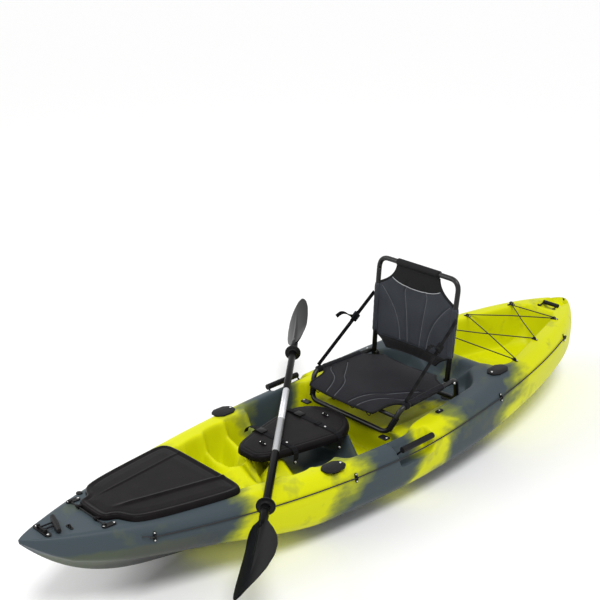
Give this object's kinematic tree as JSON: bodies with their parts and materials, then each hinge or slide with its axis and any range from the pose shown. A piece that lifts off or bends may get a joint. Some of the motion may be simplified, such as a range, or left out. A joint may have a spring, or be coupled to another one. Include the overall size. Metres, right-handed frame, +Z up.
{
  "type": "sit-on-top fishing kayak",
  "caption": "Sit-on-top fishing kayak with a raised folding seat, console lid, bow hatch, tank well with bungee, rod holder caps, carry handles and a two-piece paddle laid across it.",
  "frame": {"origin": "on the flat of the hull's bottom, amidships, on the centre line", "axes": "+X to the bow, +Y to port, +Z up"},
  "size_m": [3.0478, 1.636, 0.8068],
  "materials": {
    "moulded_hull": "smooth rotomoulded, yellow-green with blue-grey feathered bands",
    "black_plastic": "satin black",
    "black_rubber": "matt black",
    "black_cord": "braided",
    "black_webbing": "woven webbing",
    "seat_mesh": "dark blue-black mesh",
    "black_tube": "satin powder coat",
    "silver_tube": "satin anodised"
  },
  "bodies": {
    "hull": {"hull": "moulded_hull", "side_line_eye_stern_port": "black_plastic", "side_line_eye_stern_starboard": "black_plastic", "side_line_eye_aft_port": "black_plastic", "side_line_eye_aft_starboard": "black_plastic", "side_line_eye_fore_port": "black_plastic", "side_line_eye_fore_starboard": "black_plastic", "side_line_eye_bow_port": "black_plastic", "side_line_eye_bow_starboard": "black_plastic", "side_line_port": "black_cord", "side_line_starboard": "black_cord", "tank_eye_stern_port": "black_plastic", "tank_eye_stern_starboard": "black_plastic", "tank_eye_middle_port": "black_plastic", "tank_eye_middle_starboard": "black_plastic", "tank_eye_front_port": "black_plastic", "tank_eye_front_starboard": "black_plastic", "tank_bungee": "black_cord", "hatch_hinge_rod": "black_tube", "hatch_hinge_pad_port": "black_plastic", "hatch_hinge_pad_starboard": "black_plastic", "hatch_bungee_eye_port": "black_plastic", "hatch_bungee_eye_starboard": "black_plastic", "hatch_bungee": "black_cord", "bow_handle_base": "black_plastic", "bow_pad_eye": "black_plastic"},
    "bow_hatch": {"bow_hatch_cover": "black_plastic"},
    "console_lid": {"console_lid": "black_plastic", "lid_strap_aft": "black_webbing", "lid_strap_fore": "black_webbing", "lid_buckle_aft": "black_plastic", "lid_buckle_fore": "black_plastic", "lid_eye_aft": "black_plastic", "lid_eye_fore": "black_plastic"},
    "paddle": {"paddle_shaft_bow": "silver_tube", "paddle_grip_bow": "black_plastic", "paddle_blade_bow": "black_plastic"},
    "paddle_stern_half": {"paddle_shaft_stern": "silver_tube", "paddle_grip_stern": "black_plastic", "paddle_blade_stern": "black_plastic"},
    "drip_ring_bow": {"drip_ring_bow": "black_rubber"},
    "drip_ring_stern": {"drip_ring_stern": "black_rubber"},
    "rod_cap_rear_port": {"rod_cap_rear_port": "black_rubber"},
    "rod_cap_rear_starboard": {"rod_cap_rear_starboard": "black_rubber"},
    "rod_cap_front_port": {"rod_cap_front_port": "black_rubber"},
    "rod_cap_front_starboard": {"rod_cap_front_starboard": "black_rubber"},
    "side_handle_port": {"side_handle_port": "black_rubber"},
    "side_handle_starboard": {"side_handle_starboard": "black_rubber"},
    "bow_handle": {"bow_handle": "black_rubber"},
    "stern_handle": {"stern_handle": "black_rubber"},
    "seat": {"seat_base_frame": "black_tube", "seat_pan": "seat_mesh", "recline_strap_port": "black_webbing", "recline_strap_starboard": "black_webbing"},
    "backrest": {"back_frame": "black_tube", "back_panel": "seat_mesh"},
    "drain_plug": {"drain_plug": "black_rubber"},
    "scupper_plug_port": {"scupper_plug_port": "black_rubber"},
    "scupper_plug_starboard": {"scupper_plug_starboard": "black_rubber"}
  },
  "joints": [
    {"name": "bow_hatch_hinge", "type": "hinge", "parent": "hull", "child": "bow_hatch", "pos_m": [1.256, 0, 0.34173], "axis": [0, 1, 0], "range_deg": [0, 100], "deforming": ["hatch_bungee"]},
    {"name": "console_lid_lift", "type": "slide", "parent": "hull", "child": "console_lid", "axis": [0, 0, 1], "range_m": [0, 0.12]},
    {"name": "paddle_lift", "type": "slide", "parent": "console_lid", "child": "paddle", "axis": [0, 0, 1], "range_m": [0, 0.15]},
    {"name": "paddle_feather", "type": "hinge", "parent": "paddle", "child": "paddle_stern_half", "pos_m": [0.285, -0.068, 0.31961], "axis": [0.7269, 0.6867, 0], "range_deg": [0, 60]},
    {"name": "drip_ring_bow_slide", "type": "slide", "parent": "paddle", "child": "drip_ring_bow", "axis": [0.7269, 0.6867, 0], "range_m": [-0.05, 0.025]},
    {"name": "drip_ring_stern_slide", "type": "slide", "parent": "paddle_stern_half", "child": "drip_ring_stern", "axis": [-0.7269, -0.6867, 0], "range_m": [-0.05, 0.025]},
    {"name": "rod_cap_rear_port_swivel", "type": "hinge", "parent": "hull", "child": "rod_cap_rear_port", "pos_m": [-0.63903, 0.266, 0.32525], "axis": [0.056, 0, 0.9984], "range_deg": [-100, 0]},
    {"name": "rod_cap_rear_starboard_swivel", "type": "hinge", "parent": "hull", "child": "rod_cap_rear_starboard", "pos_m": [-0.63903, -0.266, 0.32525], "axis": [0.056, 0, 0.9984], "range_deg": [0, 100]},
    {"name": "rod_cap_front_port_swivel", "type": "hinge", "parent": "hull", "child": "rod_cap_front_port", "pos_m": [0.337, 0.326, 0.29463], "axis": [-0.0233, 0, 0.9997], "range_deg": [0, 100]},
    {"name": "rod_cap_front_starboard_swivel", "type": "hinge", "parent": "hull", "child": "rod_cap_front_starboard", "pos_m": [0.337, -0.326, 0.29463], "axis": [-0.0233, 0, 0.9997], "range_deg": [-100, 0]},
    {"name": "side_handle_port_swing", "type": "hinge", "parent": "hull", "child": "side_handle_port", "pos_m": [-0.0175, 0.356, 0.235], "axis": [1, 0, 0], "range_deg": [-22, 15]},
    {"name": "side_handle_starboard_swing", "type": "hinge", "parent": "hull", "child": "side_handle_starboard", "pos_m": [-0.0175, -0.356, 0.235], "axis": [-1, 0, 0], "range_deg": [-22, 15]},
    {"name": "bow_handle_flip", "type": "hinge", "parent": "hull", "child": "bow_handle", "pos_m": [1.435, 0, 0.35757], "axis": [0, 1, 0], "range_deg": [0, 150]},
    {"name": "stern_handle_flip", "type": "hinge", "parent": "hull", "child": "stern_handle", "pos_m": [-1.384, 0, 0.34], "axis": [0, 1, 0], "range_deg": [0, 100]},
    {"name": "seat_lift", "type": "slide", "parent": "hull", "child": "seat", "axis": [0, 0, 1], "range_m": [0, 0.12]},
    {"name": "backrest_fold", "type": "hinge", "parent": "seat", "child": "backrest", "pos_m": [-0.405, 0, 0.355], "axis": [0, 1, 0], "range_deg": [0, 60], "deforming": ["recline_strap_port", "recline_strap_starboard"]},
    {"name": "drain_plug_pull", "type": "slide", "parent": "hull", "child": "drain_plug", "axis": [-0.0599, 0, 0.9982], "range_m": [0, 0.04]},
    {"name": "scupper_plug_port_pull", "type": "slide", "parent": "hull", "child": "scupper_plug_port", "axis": [0, 0, 1], "range_m": [0, 0.04]},
    {"name": "scupper_plug_starboard_pull", "type": "slide", "parent": "hull", "child": "scupper_plug_starboard", "axis": [0, 0, 1], "range_m": [0, 0.04]}
  ]
}
